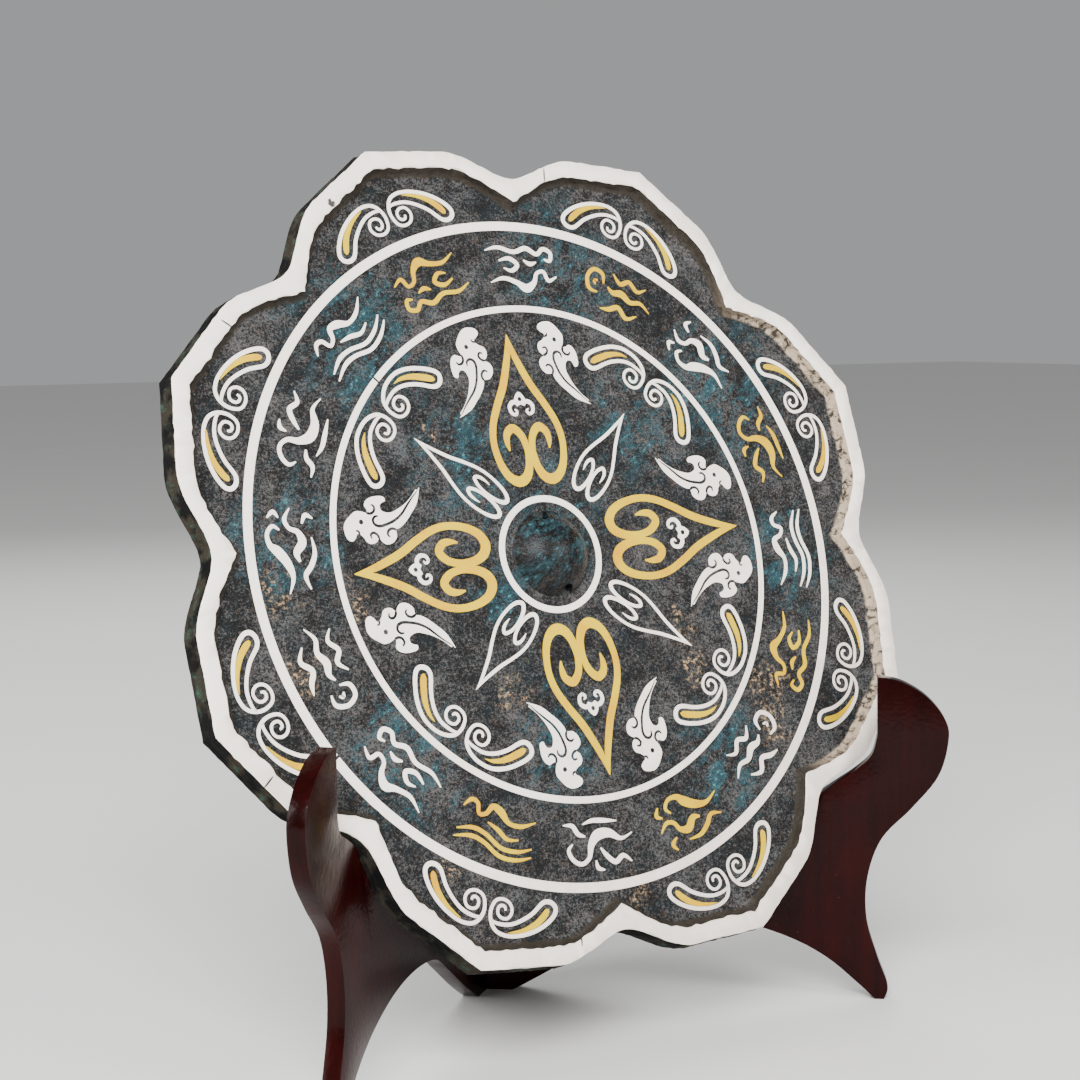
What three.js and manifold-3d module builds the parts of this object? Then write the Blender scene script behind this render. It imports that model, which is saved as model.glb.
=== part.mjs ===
// Lobed bronze mirror inlaid with silver and gold, leaning in a two-board wooden stand.
// Millimetres, +Z up, the mirror's decorated side faces -Y.
import * as THREE from 'three';
import { mergeVertices } from 'three/addons/utils/BufferGeometryUtils.js';
import Module from 'manifold-3d';

const wasm = await Module();
wasm.setup();

// ---- mirror: its own frame has x to the right, y up the disc and z out of the decorated side
const LOBES = 8;
const LOBE_TURN = 20.4;           // degrees from x to the first lobe's tip
const OUTLINE_CENTRE = { x: 0.6, y: 1.3 };
const TIP_RADIUS = 140;
const NOTCH_RADIUS = 123.6;
const FLANK_RUN = 28;             // straight part of each lobe, from its tip
const FLANK_SLANT = 108.3;        // degrees between the tip's radius and that part
const SHOULDER_REACH = 9;         // how far the curve after it keeps that direction
const NOTCH_SLANT = 112.5;        // degrees, direction in which the outline enters the notch
const NOTCH_REACH = 7;
const NOTCH_SHARPENING = 5;       // degrees more for each millimetre the outline is moved inwards
const NOTCH_DEEPENING = 1.42;     // how much further than the flanks the notch then moves
const SHOULDER_STEPS = 6;
const PLATE = 4.6;                // thickness of the plate behind the field
const RIM_WIDTH = 5.8;
const RIM_BRONZE = 2.9;           // height of the bronze rim over the field
const FACING = 0.6;               // silver sheet on the rim
const INLAY = 0.8;                // thickness of silver and gold wire and sheet
const FIT = 0.3;                  // clearance round and under each inlay

const OUTER_RING = { radius: 109, width: 2.8, steps: 60, x: 0, y: 0 };
const INNER_RING = { radius: 81, width: 2.1, steps: 48, x: 0, y: 0 };
const BOSS = { x: -3.5, y: -1.4, radius: 14.2, height: 8, steps: 24, rings: 5 };
const BOSS_RING = { radius: 18.3, width: 1.9, steps: 28, x: BOSS.x, y: BOSS.y };
const CORD_HOLE = { width: 3.9, height: 3.6, turn: -80 };

const LEAF_CENTRE = { x: -1.8, y: -0.4 };
const GOLD_LEAF = { turn: 3.4, base: 22.3, wide: 1, long: 1, stroke: 1 };
const SILVER_LEAF = { turn: 49.3, base: 22, wide: 0.46, long: 0.71, stroke: 0.47 };
// Middle line of half a leaf, from its tip down the flank, round the foot and up into the hook:
// distance from the leaf's axis, distance from its foot, width of the strip.
const LEAF_STRIP = [
  [0, 50.4, 0.7], [1.7, 42.6, 2.2], [5.4, 34, 2.5], [9.6, 26.2, 2.5], [13.1, 15.5, 2.3],
  [12.2, 7.6, 2.6], [9.8, 3.4, 3.1], [6.3, 1.9, 3.6], [3, 3.2, 3.2], [1.4, 6.8, 2.8],
  [0.9, 11.5, 2.3], [1.9, 16, 2.5], [4.9, 19.7, 3], [7.9, 17.6, 2.5], [8.1, 12.9, 0.4],
];
const LEAF_STEPS = 22;

// ---- stand: two boards whose inner faces meet on the centre plane behind the mirror
const LEAN = 18.2;                // degrees the mirror leans back
const MIRROR_HEIGHT = 157.5;      // centre of the field over the table
const BOARD = 5.6;                // thickness of a board
const BOARD_TURN = 50.5;          // degrees between a board and the Y axis
const BOARD_SPREAD = 56.2;        // half the gap between the inner faces at Y = 0
const BOARD_STEPS = 3;            // straight pieces between two points of a smooth stretch
// A board's outline in its own plane: distance backwards from Y = 0, height over the table.
const FRONT_EDGE = [
  [-60.3, 110.8], [-68, 109.4], [-76.5, 104.4], [-82.6, 97], [-84, 90], [-80.8, 77.6],
  [-72, 66.4], [-62, 55.6], [-57.4, 42], [-57.3, 28], [-61, 15], [-64.6, 5], [-63.4, 0],
];
const UNDER_EDGE = [
  [-60.4, 0], [-55.1, 5], [-44, 14.2], [-31, 21], [-14, 26], [4, 27.5], [21, 25.4],
  [33, 18.6], [48, 9], [60, 2], [64, 0],
];
const BACK_EDGE = [
  [80, 0], [80, 124], [70, 127.6], [58, 139], [50, 155], [45.6, 171], [42, 183], [34, 189.6],
  [26, 188.4], [20.2, 180.2],
];
const SLOT_EDGE_RIGHT = [
  [-36, 69.8], [-38.2, 67.4], [-41, 70.6], [-46.6, 74.6], [-53.2, 79.2], [-58.4, 84.2], [-60.3, 91],
];
const SLOT_EDGE_LEFT = [
  [-36, 70.4], [-38.2, 66.2], [-40, 64.7], [-42, 70.4], [-45, 77.2], [-52.6, 82.2],
  [-58.4, 85.4], [-60.3, 91],
];

const BRONZE = new THREE.MeshStandardMaterial({ color: 0x3a332d, roughness: 0.55, metalness: 0.8 });
const SILVER = new THREE.MeshStandardMaterial({ color: 0xe6dccd, roughness: 0.4, metalness: 0.6 });
const GOLD = new THREE.MeshStandardMaterial({ color: 0xe2b92f, roughness: 0.35, metalness: 0.9 });
const LACQUER = new THREE.MeshStandardMaterial({ color: 0x3b0d0c, roughness: 0.25, metalness: 0 });

const radians = THREE.MathUtils.degToRad;

/** Closed solid of a geometry, ready to be joined or cut. */
function toSolid(geometry) {
  const plain = geometry.clone();
  plain.deleteAttribute('normal');
  plain.deleteAttribute('uv');
  const merged = mergeVertices(plain, 1e-4);
  return new wasm.Manifold(new wasm.Mesh({
    numProp: 3,
    vertProperties: merged.attributes.position.array,
    triVerts: new Uint32Array(merged.index.array),
  }));
}

/** Geometry of a solid. */
function toGeometry(solid) {
  const mesh = solid.getMesh();
  const geometry = new THREE.BufferGeometry();
  geometry.setAttribute('position', new THREE.BufferAttribute(mesh.vertProperties, 3));
  geometry.setIndex(new THREE.BufferAttribute(mesh.triVerts, 1));
  geometry.computeVertexNormals();
  return geometry;
}

/** Plate with the given outline, between two heights. */
function plate(outline, bottom, top, holes = []) {
  const shape = new THREE.Shape(outline);
  shape.holes = holes.map((hole) => new THREE.Path(hole));
  const geometry = new THREE.ExtrudeGeometry(shape, { depth: top - bottom, bevelEnabled: false });
  return geometry.translate(0, 0, bottom);
}

/** Points of a circle. */
function circle(radius, steps, x = 0, y = 0) {
  return Array.from({ length: steps }, (_, i) => {
    const turn = 2 * Math.PI * i / steps;
    return new THREE.Vector2(x + radius * Math.cos(turn), y + radius * Math.sin(turn));
  });
}

/** One side of a lobe, from its tip to the notch, moved inwards by `inset`. */
function halfLobe(inset) {
  const along = (degrees) => new THREE.Vector2(Math.cos(radians(degrees)), Math.sin(radians(degrees)));
  const moved = (point, degrees) => point.clone().addScaledVector(along(degrees + 90), inset);
  const tip = new THREE.Vector2(TIP_RADIUS, 0);
  const shoulder = tip.clone().addScaledVector(along(FLANK_SLANT), FLANK_RUN);
  const notch = along(180 / LOBES).multiplyScalar(NOTCH_RADIUS - NOTCH_DEEPENING * inset);
  const curve = new THREE.CubicBezierCurve(
    moved(shoulder, FLANK_SLANT),
    moved(shoulder.clone().addScaledVector(along(FLANK_SLANT), SHOULDER_REACH), FLANK_SLANT),
    notch.clone().addScaledVector(along(NOTCH_SLANT + NOTCH_SHARPENING * inset), -NOTCH_REACH),
    notch,
  );
  tip.x -= inset / Math.sin(radians(180 - FLANK_SLANT));
  return [tip, ...curve.getPoints(SHOULDER_STEPS)];
}

/** The mirror's lobed outline, moved inwards by `inset`. */
function lobedOutline(inset) {
  const rising = halfLobe(inset);
  const falling = rising.slice(1, -1).reverse().map((p) => new THREE.Vector2(p.x, -p.y));
  const outline = [];
  for (let lobe = 0; lobe < LOBES; lobe += 1) {
    const turn = radians(LOBE_TURN + 360 * lobe / LOBES);
    for (const point of [...falling, ...rising]) {
      outline.push(point.clone().rotateAround(new THREE.Vector2(), turn).add(OUTLINE_CENTRE));
    }
  }
  return outline;
}

/** Flat ring, `grow` wider on each side. */
function ring({ radius, width, steps, x, y }, bottom, top, grow = 0) {
  const outer = circle(radius + width / 2 + grow, steps, x, y);
  const inner = circle(radius - width / 2 - grow, steps, x, y);
  return plate(outer, bottom, top, [inner]);
}

/** Outline of a strip that follows a middle line whose points carry its width. */
function strip(line, steps, grow) {
  const middle = new THREE.SplineCurve(line.map(([x, y]) => new THREE.Vector2(x, y)));
  const last = line.length - 1;
  const left = [];
  const right = [];
  for (let i = 0; i <= steps; i += 1) {
    const t = i / steps;
    const k = Math.min(Math.floor(t * last), last - 1);
    const half = THREE.MathUtils.lerp(line[k][2], line[k + 1][2], t * last - k) / 2 + grow;
    const forward = middle.getTangent(t);
    const side = new THREE.Vector2(-forward.y, forward.x).multiplyScalar(half);
    const endward = i === 0 ? -grow : i === steps ? grow : 0;
    const point = middle.getPoint(t).addScaledVector(forward, endward);
    left.push(point.clone().add(side));
    right.push(point.clone().sub(side));
  }
  return [...left, ...right.reverse()];
}

/** Heart-shaped leaf of two mirrored strips, pointing away from the pattern's centre. */
function leaf(kind, quarter, bottom, top, grow = 0) {
  const line = LEAF_STRIP.map(([x, y, w]) => [x * kind.wide, y * kind.long, w * kind.stroke]);
  const outline = strip(line, LEAF_STEPS, grow);
  const mirrored = outline.map((p) => new THREE.Vector2(-p.x, p.y)).reverse();
  const both = [outline, mirrored].map((side) => toSolid(plate(side, bottom, top)));
  return toGeometry(both[0].add(both[1]))
    .translate(0, kind.base, 0)
    .rotateZ(radians(kind.turn + 90 * quarter))
    .translate(LEAF_CENTRE.x, LEAF_CENTRE.y, 0);
}

/** Domed boss, pierced from side to side for a cord. */
function boss() {
  const ball = (BOSS.radius ** 2 + BOSS.height ** 2) / (2 * BOSS.height);
  const spread = Math.asin(BOSS.radius / ball);
  const profile = [new THREE.Vector2(0, -1), new THREE.Vector2(BOSS.radius, -1)];
  for (let i = 0; i <= BOSS.rings; i += 1) {
    const angle = spread * (1 - i / BOSS.rings);
    profile.push(new THREE.Vector2(ball * Math.sin(angle), BOSS.height - ball * (1 - Math.cos(angle))));
  }
  return new THREE.LatheGeometry(profile, BOSS.steps).rotateX(Math.PI / 2).translate(BOSS.x, BOSS.y, 0);
}

/** Arched passage for the cord, right through the boss. */
function cordHole() {
  const half = CORD_HOLE.width / 2;
  const shape = new THREE.Shape();
  shape.moveTo(-half, 0.2);
  shape.lineTo(half, 0.2);
  shape.lineTo(half, CORD_HOLE.height - half);
  shape.absarc(0, CORD_HOLE.height - half, half, 0, Math.PI, false);
  const length = 2 * BOSS.radius + 4;
  return new THREE.ExtrudeGeometry(shape, { depth: length, bevelEnabled: false, curveSegments: 4 })
    .translate(0, 0, -length / 2)
    .rotateX(Math.PI / 2)
    .rotateZ(radians(CORD_HOLE.turn + 90))
    .translate(BOSS.x, BOSS.y, 0);
}

const inlays = [
  ['silver_outer_ring', SILVER, (...cut) => ring(OUTER_RING, ...cut)],
  ['silver_inner_ring', SILVER, (...cut) => ring(INNER_RING, ...cut)],
  ['silver_boss_ring', SILVER, (...cut) => ring(BOSS_RING, ...cut)],
];
for (let quarter = 0; quarter < 4; quarter += 1) {
  inlays.push([`gold_leaf_${quarter + 1}`, GOLD, (...cut) => leaf(GOLD_LEAF, quarter, ...cut)]);
  inlays.push([`silver_leaf_${quarter + 1}`, SILVER, (...cut) => leaf(SILVER_LEAF, quarter, ...cut)]);
}

/** Bronze casting: lobed plate, raised rim, boss, and a bed cut for each inlay. */
function casting() {
  let solid = toSolid(plate(lobedOutline(0), -PLATE, RIM_BRONZE));
  solid = solid.subtract(toSolid(plate(lobedOutline(RIM_WIDTH), 0, RIM_BRONZE + 1)));
  solid = solid.add(toSolid(boss())).subtract(toSolid(cordHole()));
  for (const [, , cutter] of inlays) {
    solid = solid.subtract(toSolid(cutter(-INLAY - FIT, 1, FIT)));
  }
  return toGeometry(solid);
}

/** Silver sheet that covers the rim. */
function rimFacing() {
  const bottom = RIM_BRONZE + FIT;
  return plate(lobedOutline(0), bottom, bottom + FACING, [lobedOutline(RIM_WIDTH)]);
}

/** Smooth stretch through points. */
function smooth(points) {
  const curve = new THREE.SplineCurve(points.map(([s, h]) => new THREE.Vector2(s, h)));
  return curve.getPoints((points.length - 1) * BOARD_STEPS);
}

/** Board of the stand on one side: side is 1 on the right and -1 on the left. */
function board(side) {
  const outline = [
    ...smooth(FRONT_EDGE),
    ...smooth(UNDER_EDGE),
    new THREE.Vector2(...BACK_EDGE[0]),
    ...smooth(BACK_EDGE.slice(1)),
    ...smooth(side > 0 ? SLOT_EDGE_RIGHT : SLOT_EDGE_LEFT),
  ];
  const outer = side > 0 ? 0 : -BOARD;
  const geometry = plate(outline, outer, outer + BOARD)
    .rotateX(Math.PI / 2)
    .rotateZ(Math.PI / 2 + side * radians(BOARD_TURN))
    .translate(side * BOARD_SPREAD, 0, 0);
  const reach = 200;
  const otherSide = new THREE.BoxGeometry(reach, 2 * reach, 2 * reach)
    .translate(side * (FIT / 2 - reach / 2), 0, 0);
  return toGeometry(toSolid(geometry).subtract(toSolid(otherSide)));
}

/** Named piece in its material. */
function piece(name, geometry, material) {
  const mesh = new THREE.Mesh(geometry, material);
  mesh.name = name;
  return mesh;
}

const mirror = new THREE.Group();
mirror.position.set(0, 0, MIRROR_HEIGHT);
mirror.rotation.x = radians(90 - LEAN);
mirror.add(piece('mirror_disc', casting(), BRONZE));
mirror.add(piece('silver_rim_facing', rimFacing(), SILVER));
for (const [name, material, shape] of inlays) {
  mirror.add(piece(name, shape(-INLAY, 0), material));
}

const group = new THREE.Group();
group.add(mirror);
group.add(piece('stand_board_right', board(1), LACQUER));
group.add(piece('stand_board_left', board(-1), LACQUER));

// The origin lies on the table, under the middle of the whole.
group.updateMatrixWorld(true);
const extent = new THREE.Box3().setFromObject(group, true);
const middle = extent.getCenter(new THREE.Vector3());
group.position.set(-middle.x, -middle.y, 0);

export default group;
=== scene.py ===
"""Lobed bronze mirror with silver and gold inlay, leaning in a lacquered two-board stand."""

import logging
import math
from collections.abc import Iterable, Sequence
from dataclasses import dataclass, field
from enum import Enum

import bmesh
import bpy
from mathutils import Matrix, Vector, noise


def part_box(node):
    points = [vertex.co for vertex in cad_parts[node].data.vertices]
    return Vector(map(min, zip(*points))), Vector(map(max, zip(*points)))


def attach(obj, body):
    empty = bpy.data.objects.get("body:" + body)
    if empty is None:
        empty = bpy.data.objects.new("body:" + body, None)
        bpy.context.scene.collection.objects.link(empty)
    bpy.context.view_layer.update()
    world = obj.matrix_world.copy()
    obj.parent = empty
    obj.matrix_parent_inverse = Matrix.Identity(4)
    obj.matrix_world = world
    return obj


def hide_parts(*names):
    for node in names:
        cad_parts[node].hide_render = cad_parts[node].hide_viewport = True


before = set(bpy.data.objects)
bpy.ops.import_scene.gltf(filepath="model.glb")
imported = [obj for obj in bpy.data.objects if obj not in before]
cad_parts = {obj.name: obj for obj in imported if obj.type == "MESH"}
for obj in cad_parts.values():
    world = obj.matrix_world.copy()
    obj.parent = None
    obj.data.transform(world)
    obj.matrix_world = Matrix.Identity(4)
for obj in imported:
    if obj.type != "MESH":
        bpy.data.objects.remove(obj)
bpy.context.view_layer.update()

LOG = logging.getLogger("mirror")
MM = 0.001
Point = tuple[float, float]
Stop = tuple[float, float, float]
Colour = tuple[float, float, float]


class Metal(Enum):
    """The inlay metals, by the material slot each belongs to."""

    SILVER = "silver"
    GOLD = "gold"


# --------------------------------------------------------------------------- shader maths


class Value:
    """A number that varies over a surface, with Python's arithmetic."""

    def __init__(self, shading: "Shading", socket: bpy.types.NodeSocket) -> None:
        """Wraps an output socket of a shading's tree."""
        self.shading = shading
        self.socket = socket

    def _math(self, operation: str, *terms: "Value | float") -> "Value":
        """Adds a Math node.

        Args:
            operation: the node's operation.
            terms: its inputs, in order.

        Returns:
            The result.
        """
        inputs = dict(enumerate(terms))
        return self.shading.value("ShaderNodeMath", {"operation": operation}, inputs)

    def __add__(self, other: "Value | float") -> "Value":
        """Sum."""
        return self._math("ADD", self, other)

    __radd__ = __add__

    def __sub__(self, other: "Value | float") -> "Value":
        """Difference."""
        return self._math("SUBTRACT", self, other)

    def __rsub__(self, other: "Value | float") -> "Value":
        """Difference, from a number."""
        return self._math("SUBTRACT", other, self)

    def __mul__(self, other: "Value | float") -> "Value":
        """Product."""
        return self._math("MULTIPLY", self, other)

    __rmul__ = __mul__

    def either(self, other: "Value | float") -> "Value":
        """The larger of two."""
        return self._math("MAXIMUM", self, other)

    def ramp(self, low: float, high: float) -> "Value":
        """Smooth step from 0 at low to 1 at high; low may be the larger."""
        settings = {"interpolation_type": "SMOOTHSTEP"}
        inputs = {"Value": self, "From Min": low, "From Max": high}
        return self.shading.value("ShaderNodeMapRange", settings, inputs)


class Shading:
    """A material's node tree, built from Python expressions."""

    def __init__(self, name: str) -> None:
        """Starts a material with its shader and output only."""
        self.material = bpy.data.materials.new(name)
        self.material.use_nodes = True
        self.tree = self.material.node_tree
        self.shader = self.tree.nodes["Principled BSDF"]

    def node(self, kind: str, settings: dict | None = None, inputs: dict | None = None) -> bpy.types.Node:
        """Adds a node.

        Args:
            kind: the node's type.
            settings: its properties, set first.
            inputs: values or links, by the sockets' names or numbers.

        Returns:
            The node.
        """
        node = self.tree.nodes.new(kind)
        for name, setting in (settings or {}).items():
            setattr(node, name, setting)
        for name, given in (inputs or {}).items():
            self.feed(node.inputs[name], given)
        return node

    def feed(self, socket: bpy.types.NodeSocket, given: object) -> None:
        """Links an output into a socket, or sets the socket's own value."""
        source = given.socket if isinstance(given, Value) else given
        if isinstance(source, bpy.types.NodeSocket):
            self.tree.links.new(source, socket)
        else:
            socket.default_value = (*source, 1.0) if self._is_colour(socket, source) else source

    @staticmethod
    def _is_colour(socket: bpy.types.NodeSocket, source: object) -> bool:
        """Whether a plain triple goes into a colour socket."""
        return socket.type == "RGBA" and isinstance(source, tuple)

    def value(self, kind: str, settings: dict | None = None, inputs: dict | None = None) -> Value:
        """Adds a node and returns its first output as a number."""
        return Value(self, self.node(kind, settings, inputs).outputs[0])

    def noise(self, where: bpy.types.NodeSocket, scale: float, detail: float = 4.0, rough: float = 0.55,
              warp: float = 0.0) -> Value:
        """Fractal noise.

        Args:
            where: the coordinates.
            scale: features per unit of the coordinates.
            detail: octaves.
            rough: strength of the finer octaves.
            warp: distortion.

        Returns:
            The noise, about 0.5.
        """
        inputs = {"Vector": where, "Scale": scale, "Detail": detail, "Roughness": rough, "Distortion": warp}
        return self.value("ShaderNodeTexNoise", {}, inputs)

    def mix(self, under: object, over: object, share: Value | float) -> bpy.types.NodeSocket:
        """Lays one colour over another by a share from 0 to 1."""
        node = self.node("ShaderNodeMix", {"data_type": "RGBA"}, {0: share, 6: under, 7: over})
        return node.outputs[2]

    def vector(self, operation: str, *terms: object) -> bpy.types.NodeSocket:
        """Vector maths."""
        return self.node("ShaderNodeVectorMath", {"operation": operation}, dict(enumerate(terms))).outputs[0]

    def turned(self, where: bpy.types.NodeSocket, degrees: float, scale: Colour) -> bpy.types.NodeSocket:
        """Coordinates turned about z and then stretched."""
        turn = self.node("ShaderNodeMapping", {},
                         {"Vector": where, "Rotation": (0, 0, math.radians(degrees))})
        return self.vector("MULTIPLY", turn.outputs[0], scale)

    def measure(self, operation: str, *terms: object) -> Value:
        """Vector maths that gives a number, such as DISTANCE or DOT_PRODUCT."""
        node = self.node("ShaderNodeVectorMath", {"operation": operation}, dict(enumerate(terms)))
        return Value(self, node.outputs["Value"])

    def split(self, where: bpy.types.NodeSocket) -> tuple[Value, Value, Value]:
        """The coordinates one by one."""
        outputs = self.node("ShaderNodeSeparateXYZ", {}, {0: where}).outputs
        return Value(self, outputs[0]), Value(self, outputs[1]), Value(self, outputs[2])

    def relief(self, height: Value, depth: float, under: object = None) -> bpy.types.NodeSocket:
        """Normals of a relief.

        Args:
            height: its height, from 0 to 1.
            depth: metres that 1 stands for.
            under: normals of a coarser relief below it.

        Returns:
            The normals.
        """
        inputs = {"Height": height, "Distance": depth, "Strength": 1.0}
        if under is not None:
            inputs["Normal"] = under
        return self.node("ShaderNodeBump", {}, inputs).outputs[0]

    def surface(self, **looks: object) -> bpy.types.Material:
        """Feeds the shader, each socket by its name in lower case with underscores."""
        for name, given in looks.items():
            self.feed(self.shader.inputs[name.replace("_", " ").title().replace("Ior", "IOR")], given)
        return self.material


# --------------------------------------------------------------------------- places and finishes


@dataclass(frozen=True)
class Placement:
    """The disc's own frame: millimetres, x right, y up the disc, z out of the decorated side."""

    centre: Vector
    lean: float = 18.2

    @property
    def turn(self) -> float:
        """Turn about the row's X axis, in radians."""
        return math.radians(90 - self.lean)

    def matrix(self) -> Matrix:
        """From the disc's frame to the row's frame."""
        return Matrix.Translation(self.centre) @ Matrix.Rotation(self.turn, 4, "X") @ Matrix.Scale(MM, 4)

    def on_disc(self, shading: Shading) -> bpy.types.NodeSocket:
        """The disc's own coordinates, for a pattern."""
        where = shading.node("ShaderNodeTexCoord").outputs["Object"]
        inputs = {
            "Vector": where,
            "Location": tuple(self.centre),
            "Rotation": (self.turn, 0.0, 0.0),
            "Scale": (MM, MM, MM),
        }
        return shading.node("ShaderNodeMapping", {"vector_type": "TEXTURE"}, inputs).outputs[0]

    def outward(self, shading: Shading, flat: bpy.types.NodeSocket) -> Value:
        """How far the surface faces away from the disc's middle: 1 straight outwards, -1 straight inwards."""
        normal = shading.node("ShaderNodeNewGeometry").outputs["Normal"]
        inputs = {"Vector": normal, "Rotation": (self.turn, 0.0, 0.0)}
        own = shading.node("ShaderNodeMapping", {"vector_type": "TEXTURE"}, inputs).outputs[0]
        return shading.measure("DOT_PRODUCT", own, shading.vector("NORMALIZE", flat))


@dataclass(frozen=True)
class Patch:
    """A deposit on the casting: its middle and reach, in millimetres."""

    x: float
    y: float
    reach: float


@dataclass(frozen=True)
class PatinatedBronze:
    """Dark cast bronze with verdigris, ochre earth and a crusted edge."""

    place: Placement
    boss: Point
    field_tone: Colour = (0.0040, 0.0038, 0.0039)
    pale_tone: Colour = (0.084, 0.079, 0.077)
    teal: Colour = (0.018, 0.062, 0.076)
    bright_teal: Colour = (0.110, 0.270, 0.300)
    ochre: Colour = (0.420, 0.290, 0.170)
    brown: Colour = (0.085, 0.052, 0.032)
    crust: Colour = (0.030, 0.024, 0.017)
    moss: Colour = (0.030, 0.070, 0.050)
    beige: Colour = (0.460, 0.360, 0.260)
    tin: Colour = (0.210, 0.205, 0.180)
    earth: tuple[Patch, ...] = (
        Patch(-75, -12, 7), Patch(-99, -32, 8), Patch(-103, -6, 7), Patch(-28, -45, 9),
        Patch(73, -50, 9), Patch(72, -62, 10), Patch(43, -30, 6), Patch(45, -43, 7),
        Patch(5, -113, 7), Patch(-42, 40, 4), Patch(1.5, 0, 2.5), Patch(-60, -96, 6),
    )
    green: tuple[Patch, ...] = (
        Patch(-60, 72, 34), Patch(20, 95, 30), Patch(80, 52, 34), Patch(92, -10, 26), Patch(-95, 10, 26),
        Patch(0, 8, 26), Patch(38, 40, 24), Patch(-30, 30, 26), Patch(-70, -60, 28), Patch(50, -75, 26),
        Patch(-14, -62, 22), Patch(-22, -12, 16),
    )

    def _patches(self, shading: Shading, where: bpy.types.NodeSocket, patches: Iterable[Patch],
                 edge: float) -> Value:
        """Where the patches lie.

        Args:
            shading: the tree.
            where: coordinates, already broken up by noise.
            patches: the patches.
            edge: share of a patch's reach at which it starts to fade.

        Returns:
            1 on a patch and 0 off it.
        """
        masks = [shading.measure("DISTANCE", where, (p.x, p.y, 0.0)).ramp(p.reach, p.reach * edge)
                 for p in patches]
        total = masks[0]
        for mask in masks[1:]:
            total = total.either(mask)
        return total

    def dress(self) -> bpy.types.Material:
        """Builds the material."""
        s = Shading("patinated_bronze")
        where = self.place.on_disc(s)
        across, _, height = s.split(where)
        flat = s.vector("MULTIPLY", where, (1.0, 1.0, 0.0))
        outward = self.place.outward(s, flat)
        grain = s.noise(where, 0.95, 3.0, 0.72)
        fine = s.noise(where, 2.1, 3.0, 0.7)
        broad = s.noise(where, 0.045, 5.0, 0.6, 0.4)
        streak = s.noise(s.turned(flat, -38, (0.07, 0.16, 1.0)), 1.0, 6.0, 0.72, 0.5)
        speck = s.noise(s.turned(flat, -38, (0.40, 0.62, 1.0)), 1.0, 5.0, 0.78)
        wander = s.node("ShaderNodeTexNoise", {},
                        {"Vector": where, "Scale": 0.13, "Detail": 6.0}).outputs["Color"]
        wander = s.vector("MULTIPLY", s.vector("SUBTRACT", wander, (0.5, 0.5, 0.5)), (26.0, 26.0, 0.0))
        broken = s.vector("ADD", flat, wander)
        dome = s.measure("DISTANCE", where, (*self.boss, 4.0)).ramp(15.2, 14.4)

        green = self._patches(s, broken, self.green, 0.25)
        teal = (streak * 0.70 + speck * 0.45).ramp(0.54, 0.66) * (0.10 + 0.75 * green)
        sparkle = (speck * 0.75 + streak * 0.35).ramp(0.62, 0.70) * green
        earth = self._patches(s, broken, self.earth, 0.2) * s.noise(where, 0.55, 6.0, 0.75).ramp(0.51, 0.60)
        dust = s.noise(where, 0.5, 7.0, 0.8).ramp(0.64, 0.74) * 0.4

        cloud = s.noise(where, 0.22, 5.0, 0.68)
        pale = (grain * 0.46 + fine * 0.46 + cloud * 0.28 + broad * 0.26).ramp(0.69, 0.85) * (
            1.0 - 0.75 * dome)
        tone = s.mix(self.field_tone, self.pale_tone, pale)
        tone = s.mix(tone, self.brown, s.noise(where, 0.33, 6.0, 0.7).ramp(0.56, 0.70) * 0.45)
        tone = s.mix(tone, self.teal, teal * fine.ramp(0.30, 0.55))
        tone = s.mix(tone, self.bright_teal, sparkle * 0.75)
        tone = s.mix(tone, self.ochre, earth.either(dust))

        crumble = s.noise(where, 0.28, 7.0, 0.75, 0.6)
        edge = outward.ramp(0.25, 0.55) * height.ramp(4.0, 3.4) * (1.0 - dome)
        wall = s.mix(self.crust, self.moss, crumble.ramp(0.50, 0.66))
        wall = s.mix(wall, self.field_tone, s.noise(where, 0.11, 4.0).ramp(0.42, 0.56))
        tone = s.mix(tone, wall, edge)
        inner = outward.ramp(-0.15, -0.45) * height.ramp(0.05, 0.4) * (1.0 - dome)
        tone = s.mix(tone, self.crust, inner * 0.8)
        tone = s.mix(tone, self.beige, inner * across.ramp(80, 100) * crumble.ramp(0.40, 0.54))

        back = height.ramp(-4.45, -4.55)
        polish = s.mix(self.tin, self.field_tone, (broad * 0.8 + grain * 0.3).ramp(0.52, 0.70))
        polish = s.mix(polish, self.teal, (streak * 0.9).ramp(0.55, 0.66))
        tone = s.mix(tone, polish, back)

        rough = 0.48 + 0.20 * grain + 0.2 * teal + 0.3 * earth + 0.3 * edge - 0.36 * dome - 0.35 * back
        low = s.relief(grain * 0.6 + fine * 0.4 + earth * 0.8, 0.00020)
        normal = s.relief(crumble * (0.10 + 0.90 * edge.either(inner * 0.6)), 0.0013, low)
        return s.surface(base_color=tone, roughness=rough, metallic=0.5 * back,
                         specular_ior_level=0.13, normal=normal)


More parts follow.
